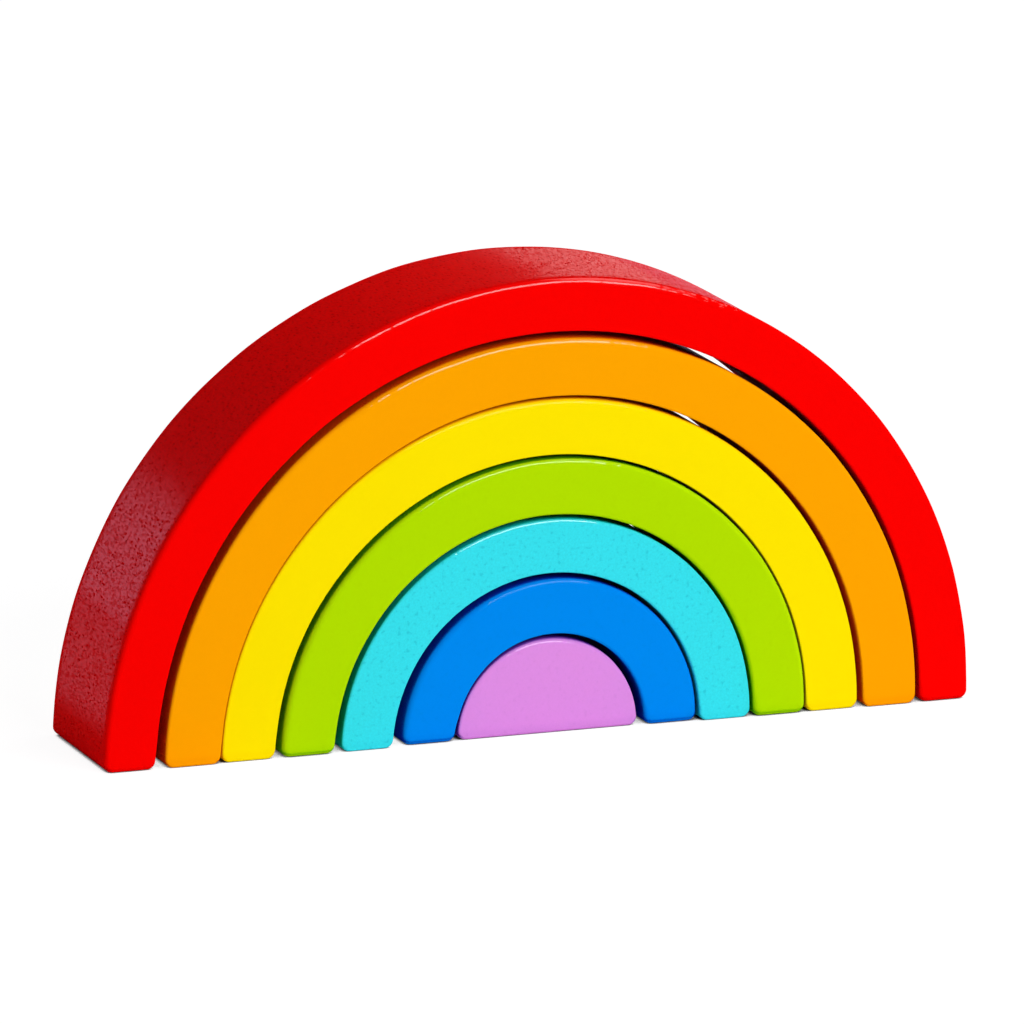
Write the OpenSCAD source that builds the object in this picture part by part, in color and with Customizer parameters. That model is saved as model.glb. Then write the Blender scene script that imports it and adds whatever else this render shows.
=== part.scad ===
// Nesting rainbow of seven painted wooden blocks: six half-ring arches that stand
// one inside the other over a solid half-round core. All blocks are loose.
// The table is the plane z = 0, x runs across the rainbow and y from front to back.

/* [All blocks] */
// Depth of every block, front to back
block_depth = 30; // [16:0.5:60]
// Radius rolled over on the outer edges and the feet
edge_round = 1.2; // [0.4:0.1:2.4]
// Smaller radius rolled over on the edges of each opening
inner_round = 0.5; // [0.3:0.1:2.4]

/* [Lilac core] */
// Radius of the half-round core
core_radius = 19.2; // [12:0.1:40]

/* [Blue arch] */
// Wood of the arch, measured along the radius
blue_wood = 11.2; // [6:0.1:20]
// Clearance over the core
blue_clear = 1.0; // [0.5:0.05:3]

/* [Turquoise arch] */
// Wood of the arch, measured along the radius
turquoise_wood = 10.9; // [6:0.1:20]
// Clearance over the blue arch
turquoise_clear = 1.3; // [0.5:0.05:3]

/* [Green arch] */
// Wood of the arch, measured along the radius
green_wood = 11.2; // [6:0.1:20]
// Clearance over the turquoise arch
green_clear = 1.0; // [0.5:0.05:3]

/* [Yellow arch] */
// Wood of the arch, measured along the radius
yellow_wood = 11.2; // [6:0.1:20]
// Clearance over the green arch
yellow_clear = 0.8; // [0.5:0.05:3]

/* [Orange arch] */
// Wood of the arch, measured along the radius
orange_wood = 11.5; // [6:0.1:20]
// Clearance over the yellow arch
orange_clear = 0.7; // [0.5:0.05:3]

/* [Red arch] */
// Wood of the arch, measured along the radius
red_wood = 10.6; // [6:0.1:20]
// Clearance over the orange arch
red_clear = 1.4; // [0.5:0.05:3]

/* [Hidden] */
$fn = 128;

// Inner and outer radius of each block, worked out from the core to the red arch
blue_inner = core_radius + blue_clear;
blue_outer = blue_inner + blue_wood;
turquoise_inner = blue_outer + turquoise_clear;
turquoise_outer = turquoise_inner + turquoise_wood;
green_inner = turquoise_outer + green_clear;
green_outer = green_inner + green_wood;
yellow_inner = green_outer + yellow_clear;
yellow_outer = yellow_inner + yellow_wood;
orange_inner = yellow_outer + orange_clear;
orange_outer = orange_inner + orange_wood;
red_inner = orange_outer + red_clear;
red_outer = red_inner + red_wood;

// Sideways rest of each block in the opening round it, as a share of the clearance there
orange_aside_share = 0.35;
yellow_aside_share = -0.58;
green_aside_share = 0.62;
turquoise_aside_share = 0.4;
blue_aside_share = 0.7;
core_aside_share = -0.44;

// How far each block stands back from the red arch's face, as a share of its depth
yellow_back_share = 0.013;
turquoise_back_share = 0.02;
blue_back_share = 0.036;
core_back_share = 0.056;

orange_aside = orange_aside_share * red_clear;
yellow_aside = orange_aside + yellow_aside_share * orange_clear;
green_aside = yellow_aside + green_aside_share * yellow_clear;
turquoise_aside = green_aside + turquoise_aside_share * green_clear;
blue_aside = turquoise_aside + blue_aside_share * turquoise_clear;
core_aside = blue_aside + core_aside_share * blue_clear;

// The foot rounding starts this share of its radius outside a face, so it meets the face at a clean angle
ease_share = 0.05;
ease = ease_share * edge_round;

// Quarter disc in the corner of the first quadrant
module quarter_round(radius) {
    intersection() {
        circle(radius);
        square(radius);
    }
}

// Section through the wood from one radius to another, with its corners rolled over.
// A section that starts on the axis stays square there.
module wood_section(inner, outer) {
    face = block_depth / 2;
    start = inner > 0 ? inner + inner_round : 0;
    stop = outer - edge_round;
    for (half = [0, 1])
        mirror([0, half]) {
            translate([start, 0]) square([stop - start, face]);
            translate([stop, 0]) square([edge_round, face - edge_round]);
            translate([stop, face - edge_round]) quarter_round(edge_round);
            if (inner > 0) {
                translate([inner, 0]) square([inner_round, face - inner_round]);
                translate([start, face - inner_round]) mirror([1, 0]) quarter_round(inner_round);
            }
        }
}

// Half ring of that section, standing on the table with square-cut feet
module half_ring(inner, outer) {
    rotate([90, 0, 0])
        rotate_extrude(angle = 180)
            wood_section(inner, outer);
}

// Lower end of a foot between two places, with both corners rolled over
module foot_outline(from, to) {
    translate([from + edge_round, 0]) square([to - from - 2 * edge_round, edge_round]);
    translate([from + edge_round, edge_round]) rotate(180) quarter_round(edge_round);
    translate([to - edge_round, edge_round]) rotate(270) quarter_round(edge_round);
}

// Room above the rolled corners of the feet, up to a height over them
module room_outline(reach, height) {
    translate([-reach, edge_round]) square([2 * reach, height]);
}

// Everything a block may fill as seen from the front
module front_former(inner, outer) {
    reach = outer + ease;
    rotate([90, 0, 0])
        linear_extrude(2 * block_depth, center = true) {
            room_outline(reach, outer);
            if (inner > 0)
                for (side = [0, 1])
                    mirror([side, 0]) foot_outline(inner - ease, reach);
            else
                foot_outline(-reach, reach);
        }
}

// Everything a block may fill as seen from the side
module side_former(outer) {
    reach = block_depth / 2 + ease;
    rotate([90, 0, 90])
        linear_extrude(4 * outer, center = true) {
            room_outline(reach, outer);
            foot_outline(-reach, reach);
        }
}

// One block of the rainbow
module block(inner, outer) {
    intersection() {
        half_ring(inner, outer);
        front_former(inner, outer);
        side_former(outer);
    }
}

module red_arch() {
    color("#fa0201")
        block(red_inner, red_outer);
}

module orange_arch() {
    color("#fea401")
        translate([orange_aside, 0, 0])
            block(orange_inner, orange_outer);
}

module yellow_arch() {
    color("#fee502")
        translate([yellow_aside, yellow_back_share * block_depth, 0])
            block(yellow_inner, yellow_outer);
}

module green_arch() {
    color("#b2df02")
        translate([green_aside, 0, 0])
            block(green_inner, green_outer);
}

module turquoise_arch() {
    color("#38e1ee")
        translate([turquoise_aside, turquoise_back_share * block_depth, 0])
            block(turquoise_inner, turquoise_outer);
}

module blue_arch() {
    color("#018af0")
        translate([blue_aside, blue_back_share * block_depth, 0])
            block(blue_inner, blue_outer);
}

module lilac_core() {
    color("#e28fe4")
        translate([core_aside, core_back_share * block_depth, 0])
            block(0, core_radius);
}

red_arch();
orange_arch();
yellow_arch();
green_arch();
turquoise_arch();
blue_arch();
lilac_core();
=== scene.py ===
"""Looks of a nesting rainbow: seven satin-painted wooden blocks on a pale studio floor."""

import logging
import math
from dataclasses import dataclass, field
from enum import Enum

import bmesh
import bpy
from mathutils import Matrix, Vector, noise


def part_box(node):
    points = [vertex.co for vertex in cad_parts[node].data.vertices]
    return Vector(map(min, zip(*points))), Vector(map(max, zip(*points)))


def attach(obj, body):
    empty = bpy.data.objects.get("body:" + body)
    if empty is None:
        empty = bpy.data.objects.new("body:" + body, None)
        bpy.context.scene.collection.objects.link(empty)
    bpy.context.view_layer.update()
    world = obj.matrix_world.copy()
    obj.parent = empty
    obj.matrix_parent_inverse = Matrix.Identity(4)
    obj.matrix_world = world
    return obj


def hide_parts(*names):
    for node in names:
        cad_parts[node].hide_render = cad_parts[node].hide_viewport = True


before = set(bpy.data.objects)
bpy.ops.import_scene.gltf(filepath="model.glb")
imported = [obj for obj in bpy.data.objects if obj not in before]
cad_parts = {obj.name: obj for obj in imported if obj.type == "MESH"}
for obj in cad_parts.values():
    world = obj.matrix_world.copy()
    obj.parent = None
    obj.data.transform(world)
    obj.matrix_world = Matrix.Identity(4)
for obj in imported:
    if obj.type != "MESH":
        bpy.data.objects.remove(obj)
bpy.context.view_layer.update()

MM = 0.001
LOG = logging.getLogger("rainbow")

# The curve between screen colours and light
CURVE_TOE = 0.04045
CURVE_SLOPE = 12.92
CURVE_OFFSET = 0.055
CURVE_POWER = 2.4

Colour = tuple[float, float, float, float]
Band = tuple[float, float]
WHITE: Colour = (1.0, 1.0, 1.0, 1.0)


class Side(Enum):
    """The two flat faces of a block, with the direction along Y that each one looks."""

    FRONT = -1.0
    BACK = 1.0


class Form(Enum):
    """The two kinds of block in the set."""

    ARCH = "half ring on two feet"
    CORE = "solid half round on its base"


def linear(hex_colour: str) -> Colour:
    """Turns a screen colour into the linear colour that shaders take.

    Args:
        hex_colour: six hexadecimal digits, such as "fa0201".

    Returns:
        Linear red, green and blue with an alpha of 1.
    """
    light = []
    for i in (0, 2, 4):
        shown = int(hex_colour[i : i + 2], 16) / 255
        if shown <= CURVE_TOE:
            light.append(shown / CURVE_SLOPE)
        else:
            light.append(((shown + CURVE_OFFSET) / (1 + CURVE_OFFSET)) ** CURVE_POWER)
    red, green, blue = light
    return red, green, blue, 1.0


def grey(value: float) -> Colour:
    """An even grey."""
    return value, value, value, 1.0


class Signal:
    """An output socket whose maths is written as Python expressions."""

    def __init__(self, board: "Board", socket: bpy.types.NodeSocket | None) -> None:
        """Wraps one output socket of a board."""
        self.board = board
        self.socket = socket

    def _math(self, operation: str, left: "Operand", right: "Operand") -> "Signal":
        """Adds the node for one operation, on values or on vectors.

        Args:
            operation: the node's name for the operation.
            left: first operand.
            right: second operand.

        Returns:
            The result.
        """
        kind = "ShaderNodeVectorMath" if self.socket.type == "VECTOR" else "ShaderNodeMath"
        return self.board.add(kind, {"operation": operation}, {0: left, 1: right})

    def __add__(self, other: "Operand") -> "Signal":
        """Self plus other."""
        return self._math("ADD", self, other)

    def __radd__(self, other: "Operand") -> "Signal":
        """Other plus self."""
        return self._math("ADD", other, self)

    def __sub__(self, other: "Operand") -> "Signal":
        """Self minus other."""
        return self._math("SUBTRACT", self, other)

    def __rsub__(self, other: "Operand") -> "Signal":
        """Other minus self."""
        return self._math("SUBTRACT", other, self)

    def __mul__(self, other: "Operand") -> "Signal":
        """Self times other."""
        return self._math("MULTIPLY", self, other)

    def __rmul__(self, other: "Operand") -> "Signal":
        """Other times self."""
        return self._math("MULTIPLY", other, self)

    def largest(self, other: "Operand") -> "Signal":
        """The larger of self and other."""
        return self._math("MAXIMUM", self, other)

    def step(self, low: float, high: float) -> "Signal":
        """Rises smoothly from 0 to 1 as self goes from low to high."""
        settings = {"interpolation_type": "SMOOTHSTEP"}
        inputs = {"Value": self, "From Min": low, "From Max": high}
        return self.board.add("ShaderNodeMapRange", settings, inputs)


Operand = Signal | float | Colour | tuple[float, float, float]


class Board:
    """The nodes of one material or world."""

    NOISE_MIDDLE = 0.5
    OPENNESS_RAYS = 8

    def __init__(self, owner: bpy.types.Material | bpy.types.World) -> None:
        """Empties the owner's node tree."""
        owner.use_nodes = True
        self.tree = owner.node_tree
        self.tree.nodes.clear()

    def add(
        self,
        kind: str,
        settings: dict[str, object] | None = None,
        inputs: dict[str | int, Operand] | None = None,
        output: str | int = 0,
    ) -> Signal:
        """Adds one node.

        Args:
            kind: the node's type.
            settings: properties of the node, set before its sockets.
            inputs: values or links of its sockets, by name or place.
            output: the output that is wanted, by name or place.

        Returns:
            That output.
        """
        node = self.tree.nodes.new(kind)
        for name, value in (settings or {}).items():
            setattr(node, name, value)
        for key, value in (inputs or {}).items():
            if isinstance(value, Signal):
                self.tree.links.new(value.socket, node.inputs[key])
            else:
                node.inputs[key].default_value = value
        return Signal(self, node.outputs[output] if node.outputs else None)

    def noise(self, place: Signal, grain: float, detail: float) -> Signal:
        """Even cloudy noise, from about 0.2 to 0.8.

        Args:
            place: coordinates in metres.
            grain: size of a spot in metres.
            detail: how many finer layers are laid over it.

        Returns:
            The noise.
        """
        inputs = {"Vector": place, "Scale": 1 / grain, "Detail": detail}
        return self.add("ShaderNodeTexNoise", None, inputs)

    def dots(self, place: Signal, spacing: float) -> Signal:
        """Distance to the nearest of many scattered points.

        Args:
            place: coordinates in metres.
            spacing: usual distance between two points in metres.

        Returns:
            The distance, where 1 is the spacing.
        """
        inputs = {"Vector": place, "Scale": 1 / spacing}
        return self.add("ShaderNodeTexVoronoi", None, inputs, "Distance")

    def openness(self, reach: float) -> Signal:
        """How much of the space over the surface is free of other surfaces.

        Args:
            reach: how far surfaces count, in metres.

        Returns:
            1 in the open and about 0 deep in a narrow gap.
        """
        settings = {"samples": self.OPENNESS_RAYS}
        return self.add("ShaderNodeAmbientOcclusion", settings, {"Distance": reach}, "AO")

    def mix(self, share: Operand, first: Operand, second: Operand, blend: str = "MIX") -> Signal:
        """Blends two colours.

        Args:
            share: how much of the second colour is taken.
            first: first colour.
            second: second colour.
            blend: the node's name for the way to blend.

        Returns:
            The blended colour.
        """
        # The node's sockets for colours are inputs 6 and 7 and output 2
        settings = {"data_type": "RGBA", "blend_type": blend}
        return self.add("ShaderNodeMix", settings, {0: share, 6: first, 7: second}, 2)

    def grey(self, value: Signal) -> Signal:
        """A grey colour of that value."""
        return self.add("ShaderNodeCombineColor", None, {"Red": value, "Green": value, "Blue": value})

    def attribute(self, name: str) -> Signal:
        """A value that the mesh holds at each vertex."""
        return self.add("ShaderNodeAttribute", {"attribute_name": name}, None, "Fac")

    def part(self, vector: Signal, axis: str) -> Signal:
        """One part of a vector, by the name of its axis."""
        return self.add("ShaderNodeSeparateXYZ", None, {"Vector": vector}, axis)


@dataclass(frozen=True)
class SatinPaint:
    """Satin paint on sanded wood: flat faces, polished edges, sealed walls with small pits, and painted
    shade in the gaps.
    """

    slot: str
    colour: str
    shade: str
    # Colour of the painted shade deep in the gaps between blocks
    gap_shade: str
    speckle: float
    flecks: float
    edge_gloss: float

    # How far an edge is rolled where the polished edge and the wall begin
    edge_roll: Band = (0.02, 0.15)
    wall_roll: Band = (0.8, 1.0)

    # Sizes of the spots of each pattern
    stipple_grain: float = 0.45 * MM
    cloud_grain: float = 28 * MM
    fleck_grain: float = 0.9 * MM
    mottle_grain: float = 0.48 * MM
    pit_spacing: float = 0.8 * MM
    pit_patch_grain: float = 6 * MM
    pit_stretch: float = 0.42
    break_grain: float = 1.1 * MM

    # Finer layers laid over each noise
    stipple_detail: float = 3.0
    cloud_detail: float = 2.0
    fleck_detail: float = 2.0
    patch_detail: float = 2.0
    mottle_detail: float = 1.0
    break_detail: float = 1.0

    # Where each pattern starts and is full
    fleck_band: Band = (0.56, 0.72)
    mottle_band: Band = (0.36, 0.6)
    pit_band: Band = (0.2, 0.34)
    pit_patch_band: Band = (0.25, 0.45)
    rubbed_band: Band = (0.78, 0.9)
    rubbed_polish: float = 0.55

    # Tones, and the painted shade in the gaps between blocks
    cloud_tone: float = 0.03
    pit_tone: float = 0.2
    mottle_tone: float = 0.15
    gap_reach: float = 5 * MM
    gap_openness: Band = (0.3, 0.6)
    gap_foot: Band = (0.2 * MM, 0.9 * MM)

    # Sheen
    wall_gloss: float = 0.135
    wall_gloss_low: float = 0.2
    flat_gloss: float = 0.002
    roughness: float = 0.5
    stipple_roughness: float = 0.2
    pit_roughness: float = 0.2
    coat_roughness: float = 0.12
    coat_index: float = 1.75

    # Heights of the relief
    peel_height: float = 0.009 * MM
    mottle_height: float = 0.006 * MM
    pit_depth: float = 0.05 * MM

    def material(self) -> bpy.types.Material:
        """Makes the paint.

        Returns:
            The material, named after its slot.
        """
        made = bpy.data.materials.new(self.slot)
        board = Board(made)
        place = board.add("ShaderNodeTexCoord", None, None, "Object")
        roll = board.attribute(RainbowBlock.ROLL)
        polish = board.attribute(RainbowBlock.POLISH)
        wall = roll.step(*self.wall_roll)
        edge = roll.step(*self.edge_roll) * (1 - wall)

        # Patterns
        drawn = place * (1.0, self.pit_stretch, 1.0)
        stipple = board.noise(place, self.stipple_grain, self.stipple_detail) - board.NOISE_MIDDLE
        cloud = board.noise(place, self.cloud_grain, self.cloud_detail) - board.NOISE_MIDDLE
        fleck = board.noise(place, self.fleck_grain, self.fleck_detail).step(*self.fleck_band)
        patch = board.noise(place, self.pit_patch_grain, self.patch_detail)
        dots = board.dots(drawn, self.pit_spacing)
        pits = (1 - dots.step(*self.pit_band)) * patch.step(*self.pit_patch_band) * wall
        mottle = board.noise(drawn, self.mottle_grain, self.mottle_detail).step(*self.mottle_band)
        breaks = board.noise(place, self.break_grain, self.break_detail)
        rubbed = (breaks + polish * self.rubbed_polish).step(*self.rubbed_band)

        # Colour
        tone = stipple * (2 * self.speckle) + cloud * self.cloud_tone + 1.0
        plain = board.mix(1.0, linear(self.colour), board.grey(tone), "MULTIPLY")
        darker = pits * self.pit_tone + (1 - mottle) * wall * self.mottle_tone + fleck * self.flecks
        worn = board.mix(darker, plain, linear(self.shade))
        # Painted shade: the gap colour where other blocks close in, except just above the table
        closed = 1 - board.openness(self.gap_reach).step(*self.gap_openness)
        off_table = board.part(place, "Z").step(*self.gap_foot)
        coloured = board.mix(closed * off_table, worn, linear(self.gap_shade))

        # Sheen and relief
        edge_shine = edge * rubbed * self.edge_gloss
        sealed = mottle * (1 - self.wall_gloss_low) + self.wall_gloss_low
        wall_shine = wall * polish * (1 - pits) * sealed * self.wall_gloss
        rough = stipple * self.stipple_roughness + pits * self.pit_roughness + self.roughness
        skin = stipple * self.peel_height + mottle * wall * self.mottle_height
        height = skin - pits * self.pit_depth
        bump = board.add("ShaderNodeBump", None, {"Height": height, "Distance": 1.0, "Strength": 1.0})
        paint = board.add(
            "ShaderNodeBsdfPrincipled",
            None,
            {
                "Base Color": coloured,
                "Roughness": rough,
                "Specular IOR Level": self.flat_gloss,
                "Coat Weight": edge_shine + wall_shine,
                "Coat Roughness": self.coat_roughness,
                "Coat IOR": self.coat_index,
                "Normal": bump,
            },
        )
        board.add("ShaderNodeOutputMaterial", None, {"Surface": paint})
        return made


@dataclass(frozen=True)
class RimPoint:
    """A point of a block's outline as seen from the front, with the way it faces and its edge radius."""

    place: Vector
    outward: Vector
    edge: float
    outside: bool


@dataclass(frozen=True)
class ProfilePoint:
    """A step from the front face over the rolled edge and the wall to the back face."""

    side: Side
    turn: float
    along: float = 0.0


@dataclass
class RainbowBlock:
    """One block of the set, rebuilt with hand-sanded edges over its CAD solid."""

    ROLL = "roll"
    POLISH = "polish"

    node: str
    finish: SatinPaint
    form: Form = Form.ARCH

    # Radii of the rolled edges, their share low on the block, and how they wander
    edge_round: float = 1.2 * MM
    inner_round: float = 0.5 * MM
    foot_round: float = 1.7 * MM
    worn_low: float = 0.5
    wear_power: int = 3
    edge_wander: float = 0.22
    edge_wave: float = 9 * MM

    # Unevenness of the sanding, and heights where the feet's even shape ends
    sanding: float = 0.05 * MM
    sanding_wave: float = 13 * MM
    foot_height: float = 2 * MM
    level_height: float = 5 * MM

    # Plain share of the wall along its edges, and the polished part of the edges in degrees
    plain_strip: float = 0.03
    polish_middle: float = 97.0
    polish_half: float = 12.0
    polish_fade: float = 20.0

    # How finely the skin is divided
    arc_step: float = 1.3 * MM
    least_steps: int = 24
    roll_steps: int = 6
    rows: tuple[float, ...] = (0.0, 0.03, 0.2, 0.4, 0.6, 0.8, 0.97, 1.0)
    wall_rows: tuple[float, ...] = (0.0, 0.02, 0.06, 0.18, 0.3, 0.42, 0.54, 0.66, 0.82, 0.94, 0.98, 1.0)

    # Taken from the CAD solid
    centre: float = field(init=False, default=0.0)
    front: float = field(init=False, default=0.0)
    back: float = field(init=False, default=0.0)
    inner: float = field(init=False, default=0.0)
    outer: float = field(init=False, default=0.0)

    def __post_init__(self) -> None:
        """Takes the block's place and radii from its CAD solid."""
        low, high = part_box(self.node)
        self.centre = (low.x + high.x) / 2
        self.front, self.back = low.y, high.y
        self.outer = (high.x - low.x) / 2
        if self.form is Form.ARCH:
            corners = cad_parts[self.node].data.vertices
            self.inner = min(math.hypot(v.co.x - self.centre, v.co.z) for v in corners)

    def roll_round_foot(self, x: float, start: float, stop: float, outside: bool) -> list[RimPoint]:
        """The rolled corner of a right-hand foot.

        Args:
            x: where the rounding's centre stands.
            start: direction in which the roll starts, in radians.
            stop: direction in which it ends.
            outside: whether the corner is on the outer side.

        Returns:
            Its points, both ends included.
        """
        points = []
        for i in range(self.roll_steps + 1):
            angle = start + (stop - start) * i / self.roll_steps
            outward = Vector((math.cos(angle), math.sin(angle)))
            spot = Vector((x, self.foot_round)) + self.foot_round * outward
            points.append(RimPoint(spot, outward, self.edge_round, outside))
        return points

    def curved_side(self, radius: float, facing: float) -> list[RimPoint]:
        """One side of the arch, from under the right foot over the top to under the left foot.

        Args:
            radius: radius of the side.
            facing: 1 for the outer side, -1 for the inner side.

        Returns:
            Its points. Sides of one block have the same number of them.
        """
        reach = radius - facing * self.foot_round
        x = math.sqrt(reach**2 - self.foot_round**2)
        rise = math.atan2(self.foot_round, x)
        down = -math.pi / 2
        outside = facing > 0
        roll = self.roll_round_foot(x, down, rise if outside else rise - math.pi, outside)
        count = max(self.least_steps, round(math.pi * self.outer / self.arc_step))
        edge = self.edge_round if outside else self.inner_round
        arc = []
        for i in range(1, count):
            angle = rise + (math.pi - 2 * rise) * i / count
            spoke = Vector((math.cos(angle), math.sin(angle)))
            arc.append(RimPoint(radius * spoke, facing * spoke, edge, outside))
        return roll + arc + [self.mirrored(p) for p in reversed(roll)]

    def mirrored(self, point: RimPoint) -> RimPoint:
        """The same point on the other foot."""
        flip = Vector((-1, 1))
        return RimPoint(point.place * flip, point.outward * flip, point.edge, point.outside)

    def straight(self, start: RimPoint, stop: RimPoint, shares: list[float]) -> list[RimPoint]:
        """Points of a flat underside between two others.

        Args:
            start: point at share 0.
            stop: point at share 1.
            shares: where the points lie between them.

        Returns:
            The points.
        """
        down = Vector((0, -1))
        return [RimPoint(start.place.lerp(stop.place, s), down, self.edge_round, False) for s in shares]

    def profile(self) -> list[ProfilePoint]:
        """The steps across the block's depth.

        Returns:
            The front roll, the wall and the back roll in order.
        """
        quarter = [i / self.roll_steps for i in range(self.roll_steps)]
        front = [ProfilePoint(Side.FRONT, turn) for turn in quarter]
        wall = [ProfilePoint(Side.FRONT, 1.0, along) for along in self.wall_rows]
        back = [ProfilePoint(Side.BACK, turn) for turn in reversed(quarter)]
        return front + wall + back

    def edge_radius(self, rim: RimPoint, side: Side) -> float:
        """Radius of the hand-sanded edge beside a point of the outline.

        Args:
            rim: the point.
            side: the face that the edge belongs to.

        Returns:
            The radius, which is even round the foot and grows to the top, where hands wear it most.
        """
        spot = Vector((rim.place.x, side.value * self.outer, rim.place.y)) / self.edge_wave
        climb = (rim.place.y / self.outer) ** self.wear_power
        worn = self.worn_low + (1 - self.worn_low) * climb
        radius = rim.edge * worn * (1 + self.edge_wander * noise.noise(spot))
        rise = (rim.place.y - self.foot_height) / (self.level_height - self.foot_height)
        low = 1 - min(1.0, max(0.0, rise))
        return radius + low * (self.worn_low * self.edge_round - radius)

    def polish(self, rim: RimPoint, step: ProfilePoint) -> float:
        """How far handling has polished the paint at a point of the surface.

        Args:
            rim: point of the outline.
            step: step of the profile.

        Returns:
            1 on the outer wall, but for a strip along its edges, and where hands rub its upper edges.
            0 elsewhere.
        """
        if not rim.outside:
            return 0.0
        if step.turn == 1.0:
            return float(self.plain_strip < step.along < 1 - self.plain_strip)
        angle = math.degrees(math.atan2(rim.place.y, rim.place.x))
        beyond = abs(angle - self.polish_middle) - self.polish_half
        return min(1.0, max(0.0, 1 - beyond / self.polish_fade))

    def sanded(self, place: Vector, normal: Vector) -> Vector:
        """Moves a point of the surface by the unevenness that sanding leaves.

        Args:
            place: the point, in the row frame.
            normal: which way the surface faces there.

        Returns:
            The moved point. Near the table it stays where it was.
        """
        share = min(1.0, place.z / self.level_height)
        return place + normal * (share * self.sanding * noise.noise(place / self.sanding_wave))

    def surface(self, rim: RimPoint, step: ProfilePoint) -> Vector:
        """The surface at a point of the outline and a step across the depth.

        Args:
            rim: point of the outline.
            step: step of the profile.

        Returns:
            The place, in the row frame.
        """
        radius = self.edge_radius(rim, step.side)
        slope = step.turn * math.pi / 2
        face = self.front if step.side is Side.FRONT else self.back
        inset = radius * (1 - math.sin(slope))
        y = face - step.side.value * radius * (1 - math.cos(slope))
        if step.along > 0:
            y += step.along * (self.back - self.edge_radius(rim, Side.BACK) - y)
        spot = rim.place - inset * rim.outward
        normal = Vector((rim.outward.x * math.sin(slope), 0, rim.outward.y * math.sin(slope)))
        normal.y = step.side.value * math.cos(slope)
        return self.sanded(Vector((self.centre + spot.x, y, spot.y)), normal)

    def mesh(self) -> bpy.types.Mesh:
        """Builds the block's skin as one closed mesh that holds how far it is rolled and polished.

        Returns:
            The mesh, in the row frame.
        """
        outside = self.curved_side(self.outer, 1.0)
        if self.form is Form.ARCH:
            between = list(self.rows[1:-1])
            inside = self.curved_side(self.inner, -1.0)
            left = self.straight(outside[-1], inside[-1], between)
            right = self.straight(outside[0], inside[0], between)
            rim = outside + left + inside[::-1] + right[::-1]
        else:
            shares = [i / (len(outside) - 1) for i in range(len(outside))]
            base = self.straight(outside[0], outside[-1], shares)
            rim = outside + base[-2:0:-1]
        steps = self.profile()
        bm = bmesh.new()
        roll = bm.verts.layers.float.new(self.ROLL)
        polish = bm.verts.layers.float.new(self.POLISH)
        rings = []
        for point in rim:
            ring = [bm.verts.new(self.surface(point, step)) for step in steps]
            for vert, step in zip(ring, steps):
                vert[roll] = step.turn
                vert[polish] = self.polish(point, step)
            rings.append(ring)
        for ring, following in zip(rings, rings[1:] + rings[:1]):
            for j in range(len(steps) - 1):
                bm.faces.new((ring[j], following[j], following[j + 1], ring[j + 1]))
        self.close_face(bm, rings, len(outside), Side.FRONT)
        self.close_face(bm, rings, len(outside), Side.BACK)
        bmesh.ops.recalc_face_normals(bm, faces=bm.faces)
        for face in bm.faces:
            face.smooth = True
        made = bpy.data.meshes.new(self.node + "_painted")
        bm.to_mesh(made)
        bm.free()
        return made

    def close_face(
        self,
        bm: bmesh.types.BMesh,
        rings: list[list[bmesh.types.BMVert]],
        count: int,
        side: Side,
    ) -> None:
        """Fills a flat face with rows of quads from the outer side to the inner side or the base.

        Args:
            bm: the mesh being built.
            rings: the vertices at each point of the outline, from front to back.
            count: points along the outer side.
            side: the face to fill.
        """
        last = 0 if side is Side.FRONT else -1
        edge = [ring[last] for ring in rings]
        face = self.front if side is Side.FRONT else self.back
        normal = Vector((0, side.value, 0))
        between = self.rows[1:-1]
        outside = edge[:count]
        if self.form is Form.ARCH:
            left = edge[count : count + len(between)]
            inside = edge[count + len(between) : 2 * count + len(between)][::-1]
            right = edge[2 * count + len(between) :][::-1]
        else:
            inside = [outside[0]] + edge[count:][::-1] + [outside[-1]]
            left = [outside[-1]] * len(between)
            right = [outside[0]] * len(between)
        columns = []
        for c, (top, bottom) in enumerate(zip(outside, inside)):
            if c in (0, count - 1):
                middle = right if c == 0 else left
            else:
                middle = []
                for share in between:
                    spot = top.co.lerp(bottom.co, share)
                    spot.y = face
                    middle.append(bm.verts.new(self.sanded(spot, normal)))
            columns.append([top, *middle, bottom])
        for column, following in zip(columns, columns[1:]):
            for j in range(len(column) - 1):
                corners = dict.fromkeys((column[j], column[j + 1], following[j + 1], following[j]))
                if len(corners) > 2:
                    bm.faces.new(tuple(corners))

    def build(self) -> bpy.types.Object:
        """Makes the painted piece in place of its CAD solid.

        Returns:
            The piece, which rides on the block's own body.
        """
        piece = bpy.data.objects.new(self.node + "_painted", self.mesh())
        bpy.context.scene.collection.objects.link(piece)
        piece.data.materials.append(self.finish.material())
        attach(piece, self.node)
        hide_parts(self.node)
        return piece


@dataclass(frozen=True)
class SoftLamp:
    """A flat soft lamp that looks at the blocks."""

    name: str
    azimuth: float
    elevation: float
    width: float
    height: float
    power: float
    distance: float = 3.0

    def build(self, target: Vector) -> bpy.types.Object:
        """Hangs the lamp.

        Args:
            target: the point that it is aimed at.

        Returns:
            The lamp.
        """
        data = bpy.data.lights.new(self.name, "AREA")
        data.shape = "RECTANGLE"
        data.size = self.width
        data.size_y = self.height
        data.energy = self.power
        made = bpy.data.objects.new(self.name, data)
        bpy.context.scene.collection.objects.link(made)
        way = direction(self.azimuth, self.elevation)
        made.location = target + self.distance * way
        made.rotation_euler = (-way).to_track_quat("-Z", "Y").to_euler()
        return made


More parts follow.
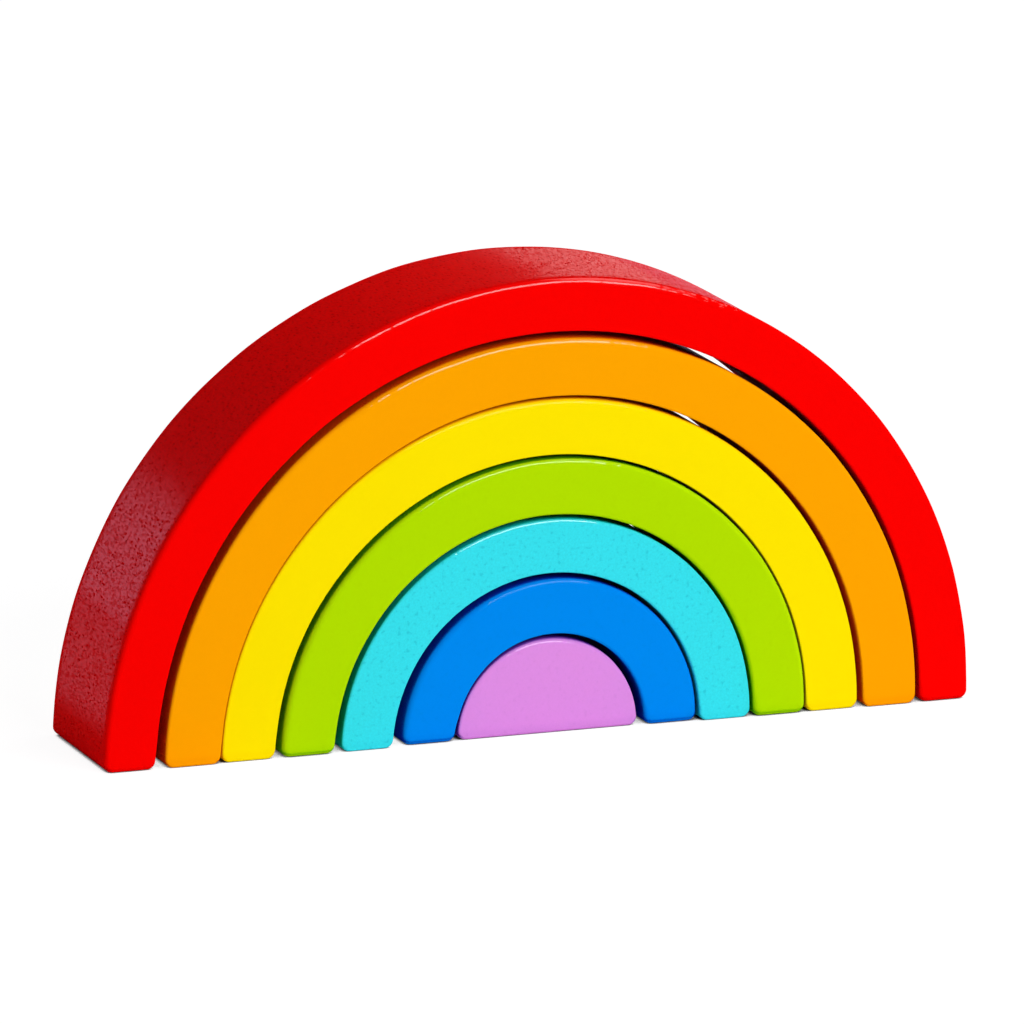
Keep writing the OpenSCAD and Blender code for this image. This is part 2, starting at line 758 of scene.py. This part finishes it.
@dataclass(frozen=True)
class Studio:
    """A pale floor under a dark ceiling, a bright backdrop behind it, and the lamps."""

    # The floor, as it is lit, as it is seen, and its painted contact shadow close to the blocks
    floor_half: float = 6.0
    floor_drop: float = 0.05 * MM
    bounce: float = 0.88
    shadow_share: float = 0.14
    glow: float = 0.94
    contact_reach: float = 3 * MM
    contact_openness: Band = (0.15, 0.45)

    # The floor in reflections: a painted shadow beside the blocks, and a tinted glow further out
    mirrored_glow: float = 0.72
    mirrored_tint: Colour = (0.75, 0.8, 1.3, 1.0)
    mirrored_near: float = 101 * MM
    mirrored_far: float = 115 * MM

    # The backdrop, the room and the ceiling
    backdrop: float = 2.55
    backdrop_azimuth: float = -148.0
    backdrop_spread: Band = (0.0, 0.7)
    backdrop_tint: Colour = (0.8, 0.8, 1.15, 1.0)
    tint_fade: Band = (-0.3, 0.2)
    backdrop_top: float = 0.185
    ceiling_start: float = 0.268
    surround: float = 0.15
    ceiling: float = 0.02

    lamps: tuple[SoftLamp, ...] = (
        SoftLamp("front_lamp", azimuth=20.0, elevation=31.0, width=2.2, height=1.3, power=74.0),
        SoftLamp("side_lamp", azimuth=95.0, elevation=45.0, width=2.4, height=2.4, power=37.0),
    )

    def floor(self) -> bpy.types.Object:
        """Lays the floor that the blocks stand on.

        Returns:
            The floor.
        """
        half, level = self.floor_half, -self.floor_drop
        corners = [(-half, -half, level), (half, -half, level), (half, half, level), (-half, half, level)]
        sheet = bpy.data.meshes.new("studio_floor")
        sheet.from_pydata(corners, [], [(0, 1, 2, 3)])
        made = bpy.data.objects.new("studio_floor", sheet)
        bpy.context.scene.collection.objects.link(made)
        sheet.materials.append(self.floor_material())
        return made

    def floor_material(self) -> bpy.types.Material:
        """A matt floor that shows white with a soft shadow and painted shadows by the blocks, and lights
        them as white card does.

        Returns:
            The material.
        """
        made = bpy.data.materials.new("white_floor")
        board = Board(made)
        camera = board.add("ShaderNodeLightPath", None, None, "Is Camera Ray")
        glossy = board.add("ShaderNodeLightPath", None, None, "Is Glossy Ray")
        through = board.add("ShaderNodeLightPath", None, None, "Is Transmission Ray")
        seen = camera.largest(through)
        place = board.add("ShaderNodeTexCoord", None, None, "Object")
        x = board.part(place, "X")
        # Painted shadow: in reflections the floor stays dim near the blocks along X, and glows beyond
        past_mirrored_shadow = (x * x).step(self.mirrored_near**2, self.mirrored_far**2)
        # Painted contact shadow: where the blocks close over the floor, it shows only its dim card
        clear = board.openness(self.contact_reach).step(*self.contact_openness)
        card = board.add("ShaderNodeBsdfDiffuse", None, {"Color": grey(self.bounce)})
        dim = board.add("ShaderNodeBsdfDiffuse", None, {"Color": grey(self.shadow_share)})
        lit = board.add("ShaderNodeEmission", None, {"Color": WHITE, "Strength": self.glow})
        soft = {"Color": self.mirrored_tint, "Strength": self.mirrored_glow}
        faint = board.add("ShaderNodeEmission", None, soft)
        white = board.add("ShaderNodeAddShader", None, {0: dim, 1: lit})
        shown = board.add("ShaderNodeMixShader", None, {0: clear, 1: dim, 2: white})
        bright = board.add("ShaderNodeAddShader", None, {0: card, 1: faint})
        mirrored = board.add("ShaderNodeMixShader", None, {0: past_mirrored_shadow, 1: dim, 2: bright})
        lighting = board.add("ShaderNodeMixShader", None, {0: glossy, 1: card, 2: mirrored})
        surface = board.add("ShaderNodeMixShader", None, {0: seen, 1: lighting, 2: shown})
        board.add("ShaderNodeOutputMaterial", None, {"Surface": surface})
        return made

    def world(self) -> bpy.types.World:
        """A dim room with a bright backdrop that stands behind the blocks and ends under the ceiling.

        Returns:
            The world, set on the scene.
        """
        made = bpy.data.worlds.new("studio")
        board = Board(made)
        way = board.add("ShaderNodeTexCoord", None, None, "Generated")
        towards = {0: way, 1: direction(self.backdrop_azimuth, 0.0)}
        facing = board.add("ShaderNodeVectorMath", {"operation": "DOT_PRODUCT"}, towards, "Value")
        low = 1 - board.part(way, "Z").step(self.backdrop_top, self.ceiling_start)
        behind = facing.step(*self.backdrop_spread) * self.backdrop
        strength = low * (behind + self.surround) + self.ceiling
        across = board.part(way, "X").step(*self.tint_fade)
        tint = board.mix(across, self.backdrop_tint, WHITE)
        light = board.add("ShaderNodeBackground", None, {"Color": tint, "Strength": strength})
        board.add("ShaderNodeOutputWorld", None, {"Surface": light})
        bpy.context.scene.world = made
        return made


def direction(azimuth: float, elevation: float) -> Vector:
    """The way from the blocks to a place round them.

    Args:
        azimuth: degrees round from the front, to the right.
        elevation: degrees above the table.

    Returns:
        A vector of length 1.
    """
    a, e = math.radians(azimuth), math.radians(elevation)
    return Vector((math.sin(a) * math.cos(e), -math.cos(a) * math.cos(e), math.sin(e)))


@dataclass(frozen=True)
class PhotoCamera:
    """The long lens that shows the blocks from the left and a little above."""

    azimuth: float = -23.1233
    elevation: float = 14.3163
    roll: float = 1.53522
    distance: float = 1897.48 * MM
    aim: tuple[float, float, float] = (-1.75 * MM, 0.0, 41.76 * MM)
    lens: float = 339.146
    sensor: float = 36.0
    sight: float = 50.0

    def build(self) -> bpy.types.Object:
        """Makes the camera and sets it on the scene.

        Returns:
            The camera.
        """
        data = bpy.data.cameras.new("photo_camera")
        data.lens = self.lens
        data.sensor_width = self.sensor
        data.clip_end = self.sight
        made = bpy.data.objects.new("photo_camera", data)
        bpy.context.scene.collection.objects.link(made)
        back = direction(self.azimuth, self.elevation)
        right = (-back).cross(Vector((0, 0, 1))).normalized()
        up = right.cross(-back)
        tilt = Matrix.Rotation(math.radians(self.roll), 3, back)
        axes = Matrix((tilt @ right, tilt @ up, back)).transposed()
        made.matrix_world = Matrix.Translation(Vector(self.aim) + self.distance * back) @ axes.to_4x4()
        bpy.context.scene.camera = made
        return made


BLOCKS = (
    RainbowBlock(
        "red_arch",
        SatinPaint(
            "red_paint",
            colour="fb0201",
            shade="8c0004",
            gap_shade="c80002",
            speckle=0.015,
            flecks=0.02,
            edge_gloss=0.52,
        ),
        worn_low=0.7,
        polish_middle=94.0,
        polish_half=15.0,
    ),
    RainbowBlock(
        "orange_arch",
        SatinPaint(
            "orange_paint",
            colour="fea401",
            shade="c84e00",
            gap_shade="cc4200",
            speckle=0.015,
            flecks=0.02,
            edge_gloss=0.45,
        ),
        worn_low=0.4,
    ),
    RainbowBlock(
        "yellow_arch",
        SatinPaint(
            "yellow_paint",
            colour="fee502",
            shade="d8a000",
            gap_shade="eaa400",
            speckle=0.012,
            flecks=0.02,
            edge_gloss=0.1,
        ),
        worn_low=0.4,
    ),
    RainbowBlock(
        "green_arch",
        SatinPaint(
            "green_paint",
            colour="b2df02",
            shade="6f9c00",
            gap_shade="4ca200",
            speckle=0.025,
            flecks=0.04,
            edge_gloss=0.48,
        ),
        edge_round=0.85 * MM,
        worn_low=1.3,
    ),
    RainbowBlock(
        "turquoise_arch",
        SatinPaint(
            "turquoise_paint",
            colour="38e1ee",
            shade="0aa5bd",
            gap_shade="04aeb2",
            speckle=0.15,
            flecks=0.4,
            edge_gloss=0.9,
        ),
        edge_round=0.7 * MM,
        worn_low=0.6,
    ),
    RainbowBlock(
        "blue_arch",
        SatinPaint(
            "blue_paint",
            colour="018af0",
            shade="00529e",
            gap_shade="0428a4",
            speckle=0.025,
            flecks=0.05,
            edge_gloss=0.12,
        ),
        worn_low=0.9,
    ),
    RainbowBlock(
        "lilac_core",
        SatinPaint(
            "lilac_paint",
            colour="e28fe4",
            shade="a257ac",
            gap_shade="6a309e",
            speckle=0.04,
            flecks=0.1,
            edge_gloss=0.4,
        ),
        Form.CORE,
        worn_low=0.45,
    ),
)


def main() -> None:
    """Builds the studio and every block, and reports each one."""
    logging.basicConfig(level=logging.INFO, format="%(name)s: %(message)s")
    bpy.context.scene.view_settings.view_transform = "Standard"
    camera = PhotoCamera()
    camera.build()
    studio = Studio()
    studio.floor()
    studio.world()
    for lamp in studio.lamps:
        lamp.build(Vector(camera.aim))
    for block in BLOCKS:
        piece = block.build()
        LOG.info("%s: %d faces of %s", piece.name, len(piece.data.polygons), block.finish.slot)


if __name__ == "__main__":
    main()
